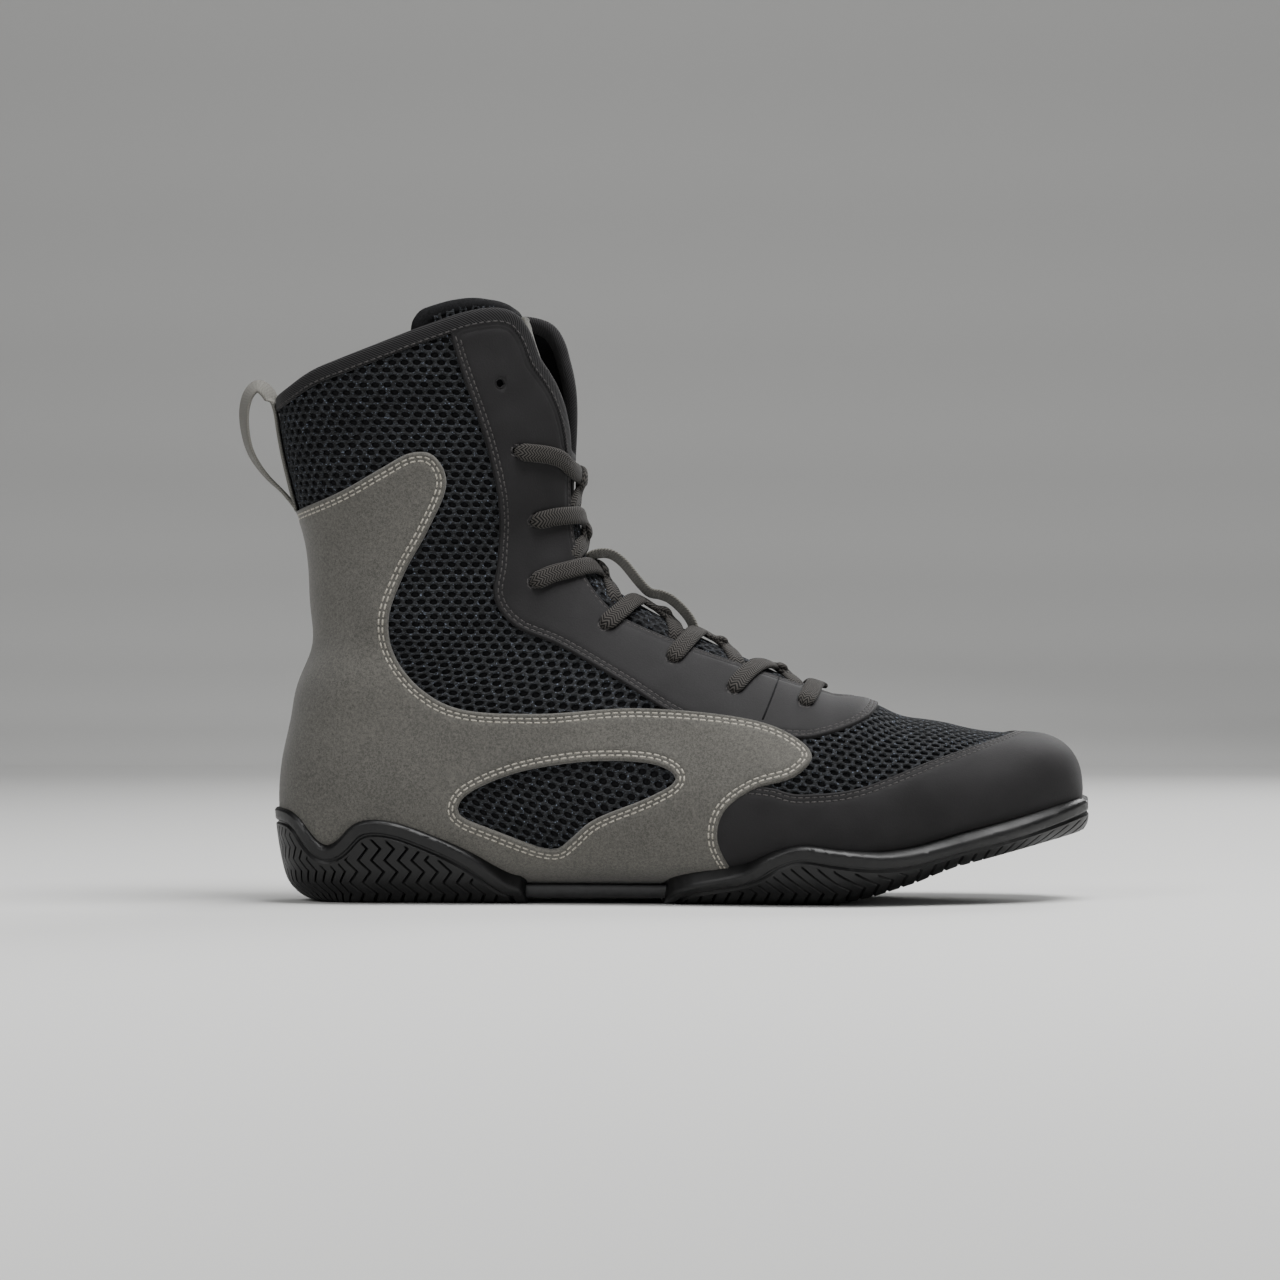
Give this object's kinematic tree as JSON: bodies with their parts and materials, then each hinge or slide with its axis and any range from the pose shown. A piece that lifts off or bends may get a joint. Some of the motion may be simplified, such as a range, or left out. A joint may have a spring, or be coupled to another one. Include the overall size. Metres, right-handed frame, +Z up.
{
  "type": "boxing shoe",
  "caption": "High-top boxing boot for the right foot: hollow mesh upper, grey heel overlay, dark toe cap, laced throat and thin ribbed rubber sole.",
  "frame": {"origin": "on the floor, at the middle of the flat of the heel", "axes": "+X to the toe, +Y to the inner side of the foot, +Z up"},
  "size_m": [0.3012, 0.099, 0.2122],
  "materials": {
    "rubber": "black satin rubber",
    "plate": "dark grey smooth moulded plate",
    "mesh": "black spacer mesh, matte",
    "foam": "dark lining cloth",
    "nubuck": "grey nubuck, matte nap",
    "microfibre": "black microfibre, soft matte",
    "twill": "black twill tape",
    "webbing": "light grey woven tape",
    "lace": "black braided flat lace"
  },
  "bodies": {
    "root": {"outsole_heel": "rubber", "arch_plate": "plate", "outsole_forefoot": "rubber", "upper": "mesh", "insole": "foam", "tongue": "mesh", "heel_overlay": "nubuck", "toe_cap": "microfibre", "eyestay": "microfibre", "collar_binding": "twill", "tongue_label": "webbing", "lace_keeper": "webbing", "pull_loop": "webbing", "lace_cross_1": "lace", "lace_cross_2": "lace", "lace_cross_3": "lace", "lace_cross_4": "lace", "lace_cross_5": "lace", "lace_cross_6": "lace", "lace_bar": "lace"}
  },
  "joints": []
}
